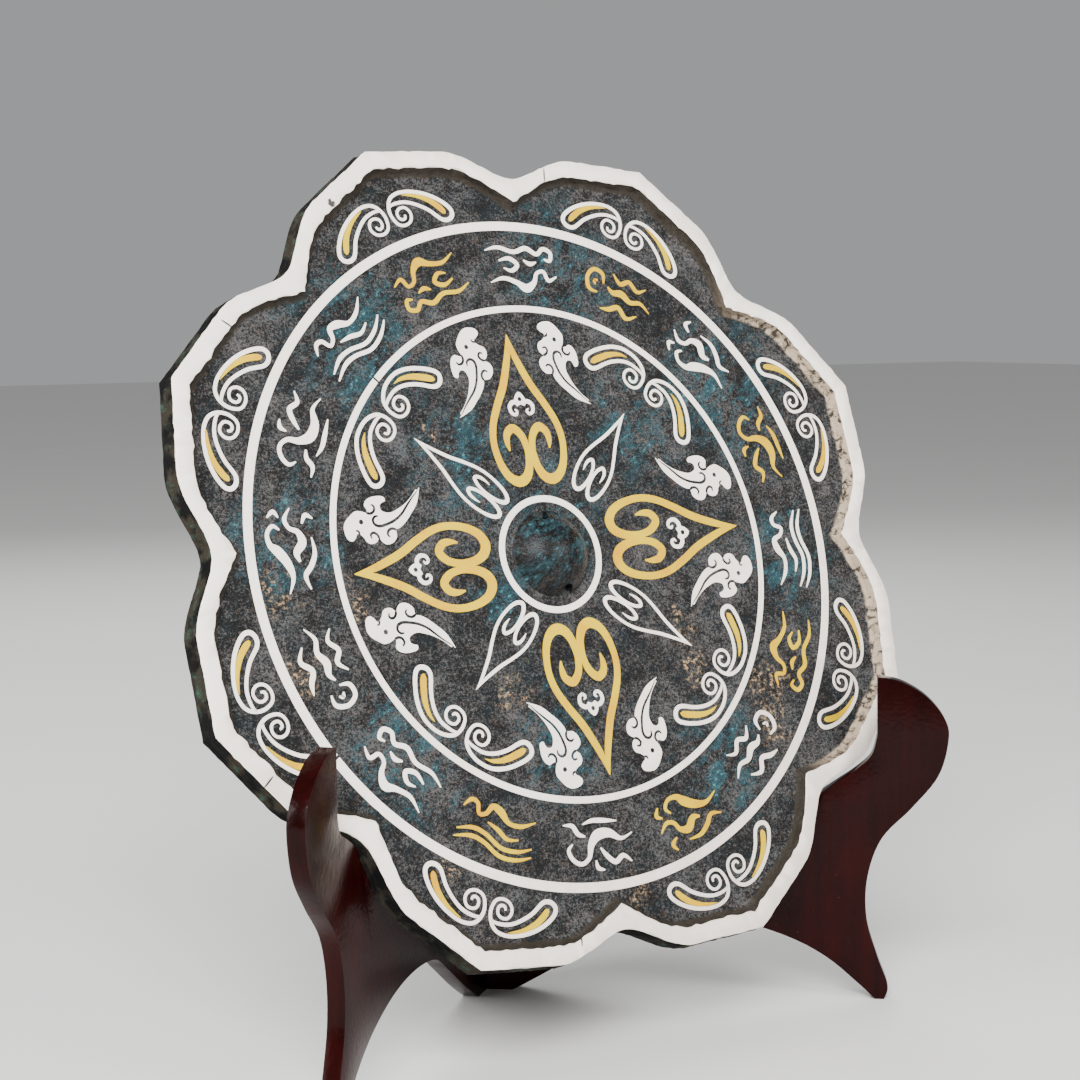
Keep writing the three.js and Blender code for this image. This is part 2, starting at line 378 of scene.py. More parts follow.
@dataclass(frozen=True)
class InlaySilver:
    """Worn warm silver sheet with hairline cracks and dark pits, a little darker and browner towards the
    lower right.
    """

    place: Placement
    clean: Colour = (0.99, 0.90, 0.81)
    warm: Colour = (0.84, 0.72, 0.60)
    # Darker, browner tone that the silver takes towards the lower right.
    lower_right_tone: Colour = (0.30, 0.21, 0.14)
    soot: Colour = (0.030, 0.026, 0.023)
    cracks: tuple[tuple[Point, Point], ...] = (
        ((18.5, 123.8), (19.3, 129.0)), ((-104.2, 74.3), (-108.1, 77.1)), ((-20.3, -119.8),
         (-21.1, -125.0)),
        ((-114.7, -60.3), (-118.5, -63.6)),
    )
    pits: tuple[Patch, ...] = (
        Patch(121.8, 45.5, 2.8), Patch(-119.8, 54.6, 2.3), Patch(-120.6, 49.9, 1.5), Patch(-63.6, 114.8, 1.3),
        Patch(-31.5, 126.5, 1.2), Patch(-123.9, -17.4, 2.4),
    )

    def _cracked(self, s: Shading, flat: bpy.types.NodeSocket) -> Value:
        """Where hairline cracks run, each between two points."""
        masks = []
        for (x0, y0), (x1, y1) in self.cracks:
            middle = ((x0 + x1) / 2, (y0 + y1) / 2, 0.0)
            length = math.hypot(x1 - x0, y1 - y0)
            centred = s.vector("SUBTRACT", flat, middle)
            turned = s.turned(centred, -math.degrees(math.atan2(y1 - y0, x1 - x0)), (2 / length, 1.0, 1.0))
            masks.append(s.measure("LENGTH", s.vector("MULTIPLY", turned, (0.5, 1.6, 0.0))).ramp(0.55, 0.40))
        total = masks[0]
        for mask in masks[1:]:
            total = total.either(mask)
        return total

    def dress(self) -> bpy.types.Material:
        """Builds the material."""
        s = Shading("inlay_silver")
        where = self.place.on_disc(s)
        across, up, _ = s.split(where)
        flat = s.vector("MULTIPLY", where, (1.0, 1.0, 0.0))
        broad = s.noise(where, 0.05, 5.0, 0.6)
        grain = s.noise(where, 1.4, 6.0, 0.7)
        smudge = s.noise(where, 0.22, 6.0, 0.7, 0.5)
        # Share that rises towards the lower right of the disc, broken up by smudges.
        low = (across * 0.006 - up * 0.009 + smudge * 1.6).ramp(1.05, 2.2)
        pitted = self._cracked(s, flat)
        for pit in self.pits:
            depth = (s.measure("DISTANCE", flat, (pit.x, pit.y, 0.0))
                     + 5.0 * (smudge - 0.5) + 2.5 * (grain - 0.5))
            pitted = pitted.either(depth.ramp(pit.reach, pit.reach * 0.7))
        tone = s.mix(self.clean, self.warm, (broad * 0.8 + grain * 0.3).ramp(0.45, 0.85) * 0.5)
        # The silver turns darker and browner towards the lower right.
        tone = s.mix(tone, self.lower_right_tone, low * 0.30)
        tone = s.mix(tone, self.soot, (smudge * 0.5 + grain * 0.6).ramp(0.69, 0.75).either(pitted))
        normal = s.relief(grain * 0.5 + smudge * 0.5, 0.00012)
        return s.surface(base_color=tone, roughness=0.36 + 0.22 * grain, metallic=0.1, normal=normal)


@dataclass(frozen=True)
class InlayGold:
    """Gold sheet, bright yellow shading to orange, with a few dark pits."""

    place: Placement
    bright: Colour = (0.66, 0.46, 0.0)
    deep: Colour = (0.62, 0.30, 0.0)
    pit: Colour = (0.030, 0.024, 0.018)

    def dress(self) -> bpy.types.Material:
        """Builds the material."""
        s = Shading("inlay_gold")
        where = self.place.on_disc(s)
        broad = s.noise(where, 0.07, 4.0, 0.6)
        grain = s.noise(where, 1.3, 6.0, 0.7)
        speck = s.noise(where, 0.9, 5.0, 0.65)
        tone = s.mix(self.bright, self.deep, (broad * 0.8 + grain * 0.3).ramp(0.42, 0.78))
        tone = s.mix(tone, self.pit, speck.ramp(0.70, 0.74))
        normal = s.relief(grain, 0.00010)
        return s.surface(base_color=tone, roughness=0.34 + 0.22 * grain, metallic=0.30,
                         specular_ior_level=0.2, normal=normal)


@dataclass(frozen=True)
class OxbloodLacquer:
    """Dark red-brown gloss lacquer over wood: faint grain, orange peel and pale dust specks."""

    ground: Colour = (0.0055, 0.0002, 0.0001)
    glow: Colour = (0.0190, 0.0006, 0.0004)
    dust: Colour = (0.260, 0.150, 0.130)

    def dress(self) -> bpy.types.Material:
        """Builds the material."""
        s = Shading("oxblood_lacquer")
        where = s.node("ShaderNodeTexCoord").outputs["Object"]
        fibre = s.noise(s.vector("MULTIPLY", where, (260.0, 260.0, 16.0)), 1.0, 5.0, 0.6, 0.3)
        cloud = s.noise(where, 22.0, 4.0, 0.6)
        peel = s.noise(where, 620.0, 2.0, 0.5)
        specks = s.noise(where, 900.0, 3.0, 0.6).ramp(0.70, 0.76)
        tone = s.mix(self.ground, self.glow, (fibre * 0.45 + cloud * 0.65).ramp(0.36, 0.78))
        tone = s.mix(tone, self.dust, specks * cloud.ramp(0.40, 0.70) * 0.55)
        normal = s.relief(peel * 0.7 + cloud * 0.6, 0.00012)
        return s.surface(base_color=tone, roughness=0.15 + 0.14 * cloud + 0.3 * specks, normal=normal,
                         specular_ior_level=0.10)


# --------------------------------------------------------------------------- mesh work


def through(points: Sequence[Sequence[float]], steps: int, closed: bool = False) -> list[Vector]:
    """Smooth run through points.

    Args:
        points: the points, each of three numbers.
        steps: samples from one point to the next.
        closed: whether the run returns to its start.

    Returns:
        The samples.
    """
    rows = [Vector(point) for point in points]
    last = len(rows) - 1
    samples = []
    for i in range(len(rows) if closed else last):
        a, b = (rows[i - 1], rows[i]) if closed else (rows[max(i - 1, 0)], rows[i])
        c, d = ((rows[(i + 1) % (last + 1)], rows[(i + 2) % (last + 1)]) if closed
                else (rows[i + 1], rows[min(i + 2, last)]))
        for k in range(steps):
            t = k / steps
            samples.append(((2 * b) + (c - a) * t + (2 * a - 5 * b + 4 * c - d) * t**2
                            + (3 * b - a - 3 * c + d) * t**3) / 2)
    return samples if closed else [*samples, rows[-1].copy()]


def circle(radius: float, steps: int, height: float = 0.0) -> list[Vector]:
    """Circle round a point of the upright axis.

    Args:
        radius: its radius.
        steps: how many points it has.
        height: where its middle lies on the axis.

    Returns:
        Its points.
    """
    angles = [i * math.tau / steps for i in range(steps)]
    return [Vector((radius * math.cos(a), height + radius * math.sin(a), 0.0)) for a in angles]


def sides(line: Sequence[Vector]) -> list[tuple[Vector, Vector]]:
    """The two edges of a strip along a line whose third number is its width."""
    pairs = []
    for i, here in enumerate(line):
        run = line[min(i + 1, len(line) - 1)] - line[max(i - 1, 0)]
        across = Vector((-run.y, run.x, 0.0)).normalized() * (here.z / 2)
        middle = Vector((here.x, here.y, 0.0))
        pairs.append((middle + across, middle - across))
    return pairs


class Piece:
    """A mesh in the making, in millimetres in a frame of its own."""

    def __init__(self, name: str) -> None:
        """Starts an empty mesh."""
        self.name = name
        self.bm = bmesh.new()

    def _thicken(self, faces: list[bmesh.types.BMFace], thickness: float,
                 chamfer: float) -> list[bmesh.types.BMVert]:
        """Raises flat faces into a closed plate and chamfers its upper edge.

        Args:
            faces: the plate's underside.
            thickness: its thickness.
            chamfer: width of the chamfer, or 0.

        Returns:
            The plate's vertices.
        """
        under = {v for f in faces for v in f.verts}
        raised = bmesh.ops.extrude_face_region(self.bm, geom=faces)["geom"]
        top = [v for v in raised if isinstance(v, bmesh.types.BMVert)]
        caps = {f for f in raised if isinstance(f, bmesh.types.BMFace)}
        bmesh.ops.translate(self.bm, verts=top, vec=(0.0, 0.0, thickness))
        made = [*under, *top]
        if chamfer:
            rim = [e for f in caps for e in f.edges if sum(g in caps for g in e.link_faces) == 1]
            cut = bmesh.ops.bevel(self.bm, geom=rim, offset=chamfer, offset_type="OFFSET", segments=1,
                                  profile=0.5, affect="EDGES", clamp_overlap=True, material=-1)
            made = [v for v in {*made, *cut["verts"]} if v.is_valid]
        return made

    def strip(self, line: Sequence[Stop], steps: int, bottom: float, top: float,
              chamfer: float = 0.0) -> list[bmesh.types.BMVert]:
        """Flat strip along a smooth line.

        Args:
            line: points, each an x, a y and the strip's width there.
            steps: samples from one point to the next.
            bottom: height of the underside.
            top: height of the upper side.
            chamfer: width of the chamfer along the top.

        Returns:
            The strip's vertices.
        """
        pairs = sides(through(line, steps))
        start = [self.bm.verts.new(p) for p in pairs[0]]
        edge = self.bm.edges.new(start)
        rows = [start]
        faces = []
        for left, right in pairs[1:]:
            grown = bmesh.ops.extrude_edge_only(self.bm, edges=[edge])["geom"]
            edge = next(g for g in grown if isinstance(g, bmesh.types.BMEdge))
            faces += [g for g in grown if isinstance(g, bmesh.types.BMFace)]
            following = [next(e.other_vert(v) for e in v.link_edges if e.other_vert(v) in edge.verts)
                         for v in rows[-1]]
            following[0].co, following[1].co = left, right
            rows.append(following)
        bmesh.ops.translate(self.bm, verts=[v for row in rows for v in row], vec=(0.0, 0.0, bottom))
        return self._thicken(faces, top - bottom, chamfer)

    def plate(self, outline: Sequence[Vector], holes: Sequence[Sequence[Vector]], bottom: float, top: float,
              chamfer: float = 0.0) -> list[bmesh.types.BMVert]:
        """Flat plate with holes.

        Args:
            outline: points round the plate.
            holes: points round each hole.
            bottom: height of the underside.
            top: height of the upper side.
            chamfer: width of the chamfer along the top.

        Returns:
            The plate's vertices.
        """
        edges = []
        for loop in (outline, *holes):
            verts = [self.bm.verts.new((p.x, p.y, bottom)) for p in loop]
            edges += [self.bm.edges.new((a, b)) for a, b in zip(verts, [*verts[1:], verts[0]])]
        filled = bmesh.ops.triangle_fill(self.bm, use_beauty=True, use_dissolve=False, edges=edges)["geom"]
        faces = [f for f in filled if isinstance(f, bmesh.types.BMFace)]
        return self._thicken(faces, top - bottom, chamfer)

    def band(self, section: Sequence[Point], centre: Point, start: float, sweep: float, steps: int) -> None:
        """Ring, or part of one, spun about an upright axis.

        Args:
            section: corners of its cross-section, as distance from the axis and height.
            centre: where the axis stands.
            start: degrees at which it starts.
            sweep: degrees it runs, 360 for a whole ring.
            steps: samples along it.
        """
        middle = Vector((*centre, 0.0))
        turn = Matrix.Rotation(math.radians(start), 4, "Z")
        verts = [self.bm.verts.new(middle + turn @ Vector((r, 0.0, z))) for r, z in section]
        whole = sweep == 360
        if whole:
            geom = [*verts, *(self.bm.edges.new((a, b)) for a, b in zip(verts, [*verts[1:], verts[0]]))]
        else:
            face = self.bm.faces.new(verts)
            geom = [face, *face.edges, *verts]
        bmesh.ops.spin(self.bm, geom=geom, cent=middle, axis=(0.0, 0.0, 1.0), angle=math.radians(sweep),
                       steps=steps, use_merge=whole)

    def loft(self, rows: Sequence[Sequence[Vector]], capped: bool) -> None:
        """Skin over closed rows of points, capped at both ends or closed on itself."""
        here = first = [self.bm.verts.new(p) for p in rows[0]]
        edges = [self.bm.edges.new(pair) for pair in zip(first, [*first[1:], first[0]])]
        if capped:
            bmesh.ops.edgeloop_fill(self.bm, edges=edges)
        for row in rows[1:] if capped else [*rows[1:], rows[0]]:
            grown = bmesh.ops.extrude_edge_only(self.bm, edges=edges)["geom"]
            fresh = {g for g in grown if isinstance(g, bmesh.types.BMVert)}
            edges = [g for g in grown if isinstance(g, bmesh.types.BMEdge) and fresh.issuperset(g.verts)]
            here = [next(e.other_vert(v) for e in v.link_edges if e.other_vert(v) in fresh) for v in here]
            for vert, point in zip(here, row):
                vert.co = point
        if capped:
            bmesh.ops.edgeloop_fill(self.bm, edges=edges)
        else:
            bmesh.ops.weld_verts(self.bm, targetmap=dict(zip(here, first)))

    def move(self, matrix: Matrix, verts: Iterable[bmesh.types.BMVert] | None = None) -> None:
        """Moves the vertices given, or all of them."""
        bmesh.ops.transform(self.bm, matrix=matrix,
                            verts=list(verts) if verts is not None else self.bm.verts[:])

    def finish(self, matrix: Matrix, material: bpy.types.Material,
               smooth: float = 35.0) -> bpy.types.Object:
        """Puts the piece in place as an object.

        Args:
            matrix: from the piece's frame to the row's.
            material: its finish.
            smooth: degrees up to which an edge is shaded smooth.

        Returns:
            The object.
        """
        self.bm.transform(matrix)
        bmesh.ops.recalc_face_normals(self.bm, faces=self.bm.faces[:])
        mesh = bpy.data.meshes.new(self.name)
        self.bm.to_mesh(mesh)
        self.bm.free()
        mesh.shade_smooth()
        mesh.set_sharp_from_angle(angle=math.radians(smooth))
        mesh.materials.append(material)
        made = bpy.data.objects.new(self.name, mesh)
        bpy.context.scene.collection.objects.link(made)
        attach(made, "root")
        LOG.info("%s: %d faces", self.name, len(mesh.polygons))
        return made


# --------------------------------------------------------------------------- the casting


@dataclass(frozen=True)
class LobedOutline:
    """The disc's outline: straight flanks that meet in a point, and rounded notches."""

    lobes: int = 8
    turn: float = 20.4
    centre: Point = (0.6, 1.3)
    tip: float = 140.0
    notch: float = 123.6
    flank: float = 28.0
    slant: float = 108.3
    reach: float = 9.0
    entry: float = 112.5
    entry_reach: float = 7.0
    sharpening: float = 5.0
    deepening: float = 1.42
    spread: float = 1.009
    steps: int = 14

    @staticmethod
    def _towards(degrees: float) -> Vector:
        """Unit vector."""
        return Vector((math.cos(math.radians(degrees)), math.sin(math.radians(degrees)), 0.0))

    def _half(self, inset: float) -> list[Vector]:
        """One side of a lobe from tip to notch, moved inwards."""
        flank, entry = self._towards(self.slant), self._towards(self.entry + self.sharpening * inset)
        inward = self._towards(self.slant + 90) * inset
        tip = Vector((self.tip - inset / math.sin(math.radians(180 - self.slant)), 0.0, 0.0))
        shoulder = Vector((self.tip, 0.0, 0.0)) + flank * self.flank + inward
        notch = self._towards(180 / self.lobes) * (self.notch - self.deepening * inset)
        hold_a = shoulder + flank * self.reach
        hold_b = notch - entry * self.entry_reach
        line = [tip.lerp(shoulder, i / self.steps) for i in range(self.steps)]
        for i in range(self.steps + 1):
            t = i / self.steps
            line.append(shoulder * (1 - t) ** 3 + hold_a * 3 * t * (1 - t) ** 2
                        + hold_b * 3 * t**2 * (1 - t) + notch * t**3)
        return line

    def row(self, inset: float, height: float, rag: float = 0.0, seed: float = 0.0,
            spread: float = 1.0) -> list[Vector]:
        """The whole outline.

        Args:
            inset: distance inwards.
            height: height over the field.
            rag: how far it strays, for a worn edge.
            seed: which way it strays.
            spread: its size beside that of the front.

        Returns:
            The points.
        """
        rising = self._half(inset)
        falling = [Vector((p.x, -p.y, 0.0)) for p in rising[-2:0:-1]]
        points = []
        for lobe in range(self.lobes):
            turn = Matrix.Rotation(math.radians(self.turn + 360 * lobe / self.lobes), 3, "Z")
            for p in [*falling, *rising]:
                q = turn @ p
                stray = (noise.noise(q * 0.33 + Vector((0, 0, seed)))
                         + 0.6 * noise.noise(q * 1.1 + Vector((0, 0, seed))))
                stray = abs(stray) if spread > 1 else stray
                q = (q * (1 - rag * stray / self.tip) + Vector((*self.centre, 0.0))) * spread
                points.append(Vector((q.x, q.y, height)))
        return points


@dataclass
class MirrorDisc:
    """The bronze casting: lobed plate, raised rim and a boss pierced for a cord."""

    place: Placement
    outline: LobedOutline = field(default_factory=LobedOutline)
    plate: float = 4.6
    rim_width: float = 5.8
    rim_height: float = 3.8
    boss: Point = (-3.5, -1.4)
    boss_radius: float = 14.2
    boss_height: float = 8.0
    cord_hole: float = 2.4
    cord_turn: float = 10.0

    def _boss(self, piece: Piece) -> None:
        """Adds the dome, with the cord hole bored through it."""
        ball = (self.boss_radius**2 + self.boss_height**2) / (2 * self.boss_height)
        dome = Piece("dome")
        bmesh.ops.create_uvsphere(dome.bm, u_segments=96, v_segments=96, radius=ball)
        low = ball - self.boss_height - 1.0
        geom = [*dome.bm.verts, *dome.bm.edges, *dome.bm.faces]
        bmesh.ops.bisect_plane(dome.bm, geom=geom, dist=1e-5, plane_co=(0, 0, low), plane_no=(0, 0, 1),
                               clear_inner=True)
        bmesh.ops.holes_fill(dome.bm, edges=[e for e in dome.bm.edges if e.is_boundary], sides=0)
        dome.move(Matrix.Translation((*self.boss, -low - 1.0)))
        bore = Piece("bore")
        bmesh.ops.create_cone(bore.bm, cap_ends=True, segments=48, radius1=self.cord_hole,
                              radius2=self.cord_hole, depth=40)
        turn = (Matrix.Rotation(math.radians(self.cord_turn), 4, "Z")
                @ Matrix.Rotation(math.radians(90), 4, "X"))
        bore.move(Matrix.Translation((*self.boss, 1.1)) @ turn @ Matrix.Diagonal((1.0, 1.15, 1.0, 1.0)))
        self._cut(dome, bore)
        piece.bm.from_mesh(self._mesh(dome))

    @staticmethod
    def _mesh(piece: Piece) -> bpy.types.Mesh:
        """A mesh of what a piece holds so far."""
        mesh = bpy.data.meshes.new(piece.name)
        piece.bm.to_mesh(mesh)
        return mesh

    def _cut(self, body: Piece, tool: Piece) -> None:
        """Takes one piece out of another."""
        objects = [bpy.data.objects.new(p.name, self._mesh(p)) for p in (body, tool)]
        for made in objects:
            bpy.context.scene.collection.objects.link(made)
        cut = objects[0].modifiers.new("cut", "BOOLEAN")
        cut.operation = "DIFFERENCE"
        cut.solver = "EXACT"
        cut.object = objects[1]
        result = objects[0].evaluated_get(bpy.context.evaluated_depsgraph_get()).to_mesh()
        body.bm.clear()
        body.bm.from_mesh(result)
        for made in objects:
            bpy.data.objects.remove(made)

    def build(self, bronze: bpy.types.Material) -> None:
        """Builds the casting."""
        row, wide, top = self.outline.row, self.rim_width, self.rim_height - 0.7
        low, back = self.plate, self.outline.spread
        wall = [(0.2, -3.9, 2), (0.1, -3.2, 3), (0.3, -2.4, 4), (0.0, -1.6, 5), (0.3, -0.8, 6),
                (0.1, 0.0, 7), (0.3, 0.8, 8), (0.1, 1.6, 9), (0.3, 2.3, 10)]
        piece = Piece("mirror_casting")
        piece.loft(
            [
                row(1.4, -low, 0.0, 0, back), row(0.5, -low + 0.25, 0.3, 1, back),
                *(row(inset, z, 1.1, seed, back + (1 - back) * (z + low) / (top + low))
                  for inset, z, seed in wall),
                row(0.7, top), row(wide - 0.5, top), row(wide - 0.1, top - 0.4, 0.4, 11),
                row(wide + 0.3, 1.9, 0.8, 12), row(wide + 0.7, 1.0, 1.0, 13),
                row(wide + 1.6, 0.42, 1.0, 14), row(wide + 2.6, 0.14, 0.9, 15), row(wide + 3.8, 0.0),
            ],
            capped=True,
        )
        self._boss(piece)
        made = piece.finish(self.place.matrix(), bronze, 40)
        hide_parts("mirror_disc")

    def face_rim(self, silver: bpy.types.Material) -> None:
        """Builds the silver sheet that covers the rim."""
        row, wide, top = self.outline.row, self.rim_width, self.rim_height
        piece = Piece("silver_rim")
        piece.loft(
            [
                row(0.75, top - 0.65), row(0.05, top - 0.6, 0.35, 21), row(0.05, top - 0.2, 0.4, 22),
                row(0.4, top, 0.35, 23), row(wide - 0.5, top, 0.9, 24),
                row(wide - 0.15, top - 0.3, 0.9, 24), row(wide - 0.42, top - 0.65),
            ],
            capped=False,
        )
        made = piece.finish(self.place.matrix(), silver, 40)
        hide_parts("silver_rim_facing")


# --------------------------------------------------------------------------- the inlay


@dataclass(frozen=True)
class Ring:
    """A silver wire ring, with hairline gaps where it has cracked."""

    name: str
    replaces: str
    radius: float
    width: float
    centre: Point
    gaps: tuple[tuple[float, float], ...] = ()


@dataclass
class Inlay:
    """Every silver and gold shape set into the field, standing a hair proud of it."""

    place: Placement
    silver: bpy.types.Material
    gold: bpy.types.Material
    bottom: float = -0.6
    top: float = 0.12
    chamfer: float = 0.10
    rings: tuple[Ring, ...] = (
        Ring("outer_ring", "silver_outer_ring", 108.9, 3.1, (-0.2, 0.6), ((212.3, 0.45),)),
        Ring("inner_ring", "silver_inner_ring", 81.0, 2.2, (0.0, 0.0), ((134.2, 0.5),)),
        Ring("boss_ring", "silver_boss_ring", 18.3, 2.2, (-3.5, -1.4)),
    )
    # Middle line of half a leaf: distance from its axis, distance from its foot, width.
    leaf: tuple[Stop, ...] = (
        (0.0, 51.2, 0.3), (0.8, 46.2, 1.9), (2.2, 41.6, 2.5), (5.3, 34.0, 2.7), (9.2, 27.2, 2.6),
        (12.2, 20.8, 2.5), (13.2, 14.6, 2.4), (12.2, 8.2, 2.6), (9.9, 3.8, 3.0), (6.6, 1.9, 3.5),
        (3.6, 3.0, 3.3), (1.7, 6.2, 2.9), (1.0, 10.0, 2.6), (1.1, 13.2, 2.4), (2.2, 17.0, 2.6),
        (4.9, 19.6, 2.9), (7.5, 18.0, 2.6), (8.1, 15.0, 1.9), (7.7, 12.2, 0.5),
    )
    gold_leaves: tuple[tuple[Point, Point], ...] = (
        ((73.3, 3.2), (23.8, 1.4)), ((-5.3, 72.2), (-4.0, 25.1)),
        ((-75.5, -2.8), (-29.5, -3.2)), ((3.3, -74.0), (-0.3, -27.3)),
    )
    silver_leaves: tuple[tuple[Point, Point], ...] = (
        ((35.6, 44.1), (13.9, 18.8)), ((-46.5, 38.8), (-19.6, 15.6)),
        ((-40.2, -42.1), (-16.8, -19.6)), ((45.1, -36.0), (16.9, -16.2)),
    )
    cusp: float = 3.9
    leaf_length: float = 51.2
    curl_eye: float = 0.75
    curl_eye_height: float = 29.2
    curl_body: tuple[Point, ...] = (
        (0.0, 31.7), (1.5, 30.5), (2.2, 28.6), (1.5, 26.9), (0.0, 27.4), (-1.5, 26.9), (-2.2, 28.6),
        (-1.5, 30.5),
    )
    curl_hook: tuple[Stop, ...] = (
        (0.8, 28.0, 1.4), (2.9, 28.3, 1.5), (4.4, 26.9, 1.4), (4.1, 24.8, 1.2), (2.6, 24.1, 1.1),
        (1.9, 25.2, 0.9), (2.7, 25.9, 0.4),
    )

    def _matrix(self, turn: float = 0.0, flip: bool = False) -> Matrix:
        """Turn about the disc's middle, after a flip from right to left."""
        mirrored = Matrix.Diagonal((-1.0 if flip else 1.0, 1.0, 1.0, 1.0))
        return Matrix.Rotation(math.radians(turn), 4, "Z") @ mirrored

    def _set(self, piece: Piece, metal: Metal, *nodes: str) -> bpy.types.Object:
        """Sets a piece into the field in its metal, in place of CAD nodes if any."""
        material = self.gold if metal is Metal.GOLD else self.silver
        made = piece.finish(self.place.matrix(), material)
        if nodes:
            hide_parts(*nodes)
        return made

    def _ring(self, ring: Ring) -> None:
        """Builds a ring."""
        low, high, c = self.bottom, self.top, self.chamfer
        inner, outer = ring.radius - ring.width / 2, ring.radius + ring.width / 2
        section = [(inner, low), (outer, low), (outer, high - c), (outer - c, high), (inner + c, high),
                   (inner, high - c)]
        piece = Piece(ring.name)
        if not ring.gaps:
            piece.band(section, ring.centre, 0, 360, 144)
        for i, (angle, gap) in enumerate(ring.gaps):
            following = ring.gaps[(i + 1) % len(ring.gaps)][0] + (360 if i == len(ring.gaps) - 1 else 0)
            sweep = following - angle - gap
            piece.band(section, ring.centre, angle + gap / 2, sweep, 288)
        self._set(piece, Metal.SILVER, ring.replaces)

    def _leaf(self, name: str, tip: Point, cusp: Point, wide: float, stroke: float, metal: Metal,
              node: str) -> Matrix:
        """Builds a heart-shaped leaf.

        Args:
            name: the piece's name.
            tip: where its point lies.
            cusp: where its two lobes meet.
            wide: width beside that of the pattern leaf.
            stroke: width of the strip beside that of the pattern leaf.
            metal: its metal.
            node: the CAD node it stands for.

        Returns:
            From the pattern leaf's frame to the disc's.
        """
        run = Vector(tip) - Vector(cusp)
        long = run.length / (self.leaf_length - self.cusp)
        foot = Vector(cusp) - run.normalized() * self.cusp * long
        turn = math.degrees(math.atan2(run.y, run.x)) - 90
        frame_of_leaf = Matrix.Translation((foot.x, foot.y, 0.0)) @ self._matrix(turn)
        line = [(x * wide, y * long, w * stroke) for x, y, w in self.leaf]
        piece = Piece(name)
        for side, lift in ((1, 0.0), (-1, 0.012)):
            made = piece.strip([(x * side, y, w) for x, y, w in line], 8, self.bottom, self.top + lift)
            piece.move(frame_of_leaf, made)
        self._set(piece, metal, node)
        return frame_of_leaf @ Matrix.Diagonal((long, long, 1.0, 1.0))

    def _curl(self, name: str, place: Matrix) -> None:
        """Builds the small curled ornament inside a gold leaf."""
        piece = Piece(name)
        eye = circle(self.curl_eye, 16, self.curl_eye_height)
        body = through([(x, y, 0.0) for x, y in self.curl_body], 5, closed=True)
        piece.plate(body, [eye], self.bottom, self.top, 0.05)
        for side in (1, -1):
            piece.strip([(x * side, y, w) for x, y, w in self.curl_hook], 6, self.bottom,
                        self.top + 0.01 * (1.5 + side), 0.05)
        piece.move(place)
        self._set(piece, Metal.SILVER)

    def build(self) -> None:
        """Builds rings, leaves and the ornaments inside them."""
        for ring in self.rings:
            self._ring(ring)
        for i, (tip, cusp) in enumerate(self.gold_leaves, 1):
            place = self._leaf(f"gold_heart_{i}", tip, cusp, 1.0, 1.0, Metal.GOLD, f"gold_leaf_{i}")
            self._curl(f"leaf_curl_{i}", place)
        for i, (tip, cusp) in enumerate(self.silver_leaves, 1):
            self._leaf(f"silver_heart_{i}", tip, cusp, 0.47, 0.43, Metal.SILVER, f"silver_leaf_{i}")


